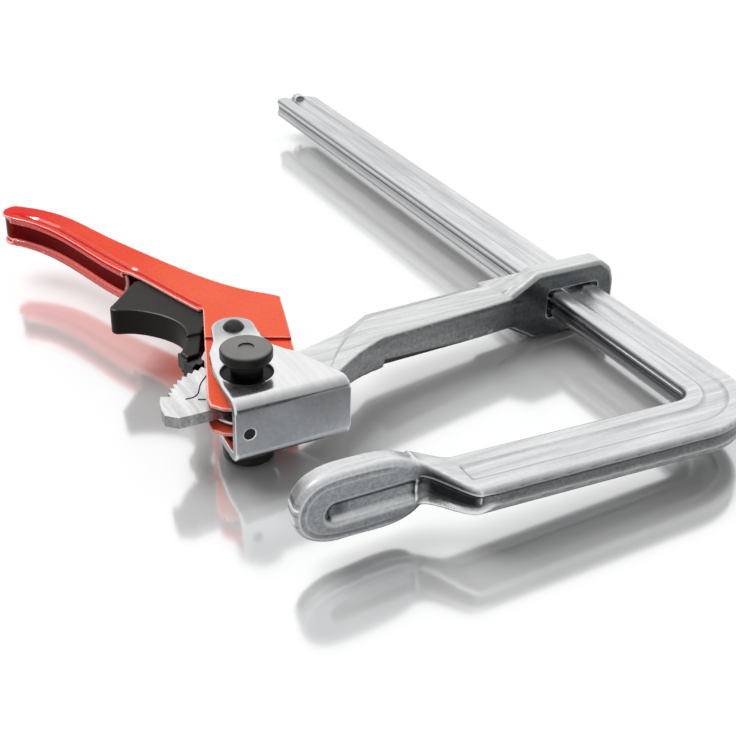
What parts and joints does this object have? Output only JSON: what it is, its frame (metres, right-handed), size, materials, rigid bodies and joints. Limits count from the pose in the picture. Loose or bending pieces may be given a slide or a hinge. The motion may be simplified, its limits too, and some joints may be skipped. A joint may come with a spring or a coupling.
{
  "type": "lever clamp",
  "caption": "All-steel bar clamp with a fixed arm, a sliding arm, a folded pressure shoe and a red ratchet lever with a black release trigger.",
  "frame": {"origin": "middle of the fixed pad's clamping face, in the clamp's own plane", "axes": "+X from the jaws to the rail, +Y along the rail in the opening direction, out of the fixed pad's face, +Z square to the clamp's plane"},
  "size_m": [0.194, 0.3482, 0.0406],
  "materials": {
    "forged_zinc": "bright zinc plate over rough forged steel",
    "forged_arm_zinc": "bright zinc plate over drop-forged steel",
    "sheet_zinc": "bright zinc plate on folded sheet",
    "ratchet_zinc": "bright zinc plate on stamped plate",
    "phosphated_steel": "dark manganese phosphate, lightly oiled",
    "black_steel": "black oxide on hardened steel",
    "spring_steel": "bright drawn spring steel",
    "red_paint": "glossy red powder coat",
    "black_plastic": "satin black moulded plastic",
    "dark_rivet": "dark zinc-plated rivet steel"
  },
  "bodies": {
    "frame_bar": {"clamp_rail": "forged_zinc"},
    "slide": {"sliding_arm": "forged_arm_zinc", "ratchet_segment": "ratchet_zinc", "ratchet_rivets": "dark_rivet", "upper_shim": "spring_steel", "lower_shim": "spring_steel"},
    "lever": {"lever_body": "red_paint", "pivot_shaft": "phosphated_steel", "upper_eccentric_disc": "phosphated_steel", "lower_eccentric_disc": "phosphated_steel", "upper_pivot_head": "phosphated_steel", "lower_pivot_head": "phosphated_steel", "trigger_pin": "dark_rivet", "trigger_spring": "spring_steel"},
    "trigger": {"release_trigger": "black_plastic", "ratchet_pawl": "black_steel"},
    "shoe": {"pressure_shoe": "sheet_zinc", "upper_ear_rivet": "dark_rivet", "lower_ear_rivet": "dark_rivet", "shoe_leaf": "spring_steel", "web_rivet": "dark_rivet"}
  },
  "joints": [
    {"name": "arm_slide", "type": "slide", "parent": "frame_bar", "child": "slide", "axis": [0, 1, 0], "range_m": [-0.038, 0.232]},
    {"name": "lever_swing", "type": "hinge", "parent": "slide", "child": "lever", "pos_m": [-0.011, 0.0574, 0], "axis": [0, 0, 1], "range_deg": [-20, 36]},
    {"name": "trigger_press", "type": "hinge", "parent": "lever", "child": "trigger", "pos_m": [0.002, 0.12, 0], "axis": [0, 0, -1], "range_deg": [0, 8], "stiffness_Nm_per_rad": 0.3, "springref_deg": -2.86},
    {"name": "shoe_swivel", "type": "hinge", "parent": "lever", "child": "shoe", "pos_m": [-0.0092, 0.0572, 0], "axis": [0, 0, 1], "range_deg": [-36, 20]}
  ],
  "couplings": [
    {"joint": "shoe_swivel", "follows": "lever_swing", "ratio": -1}
  ]
}
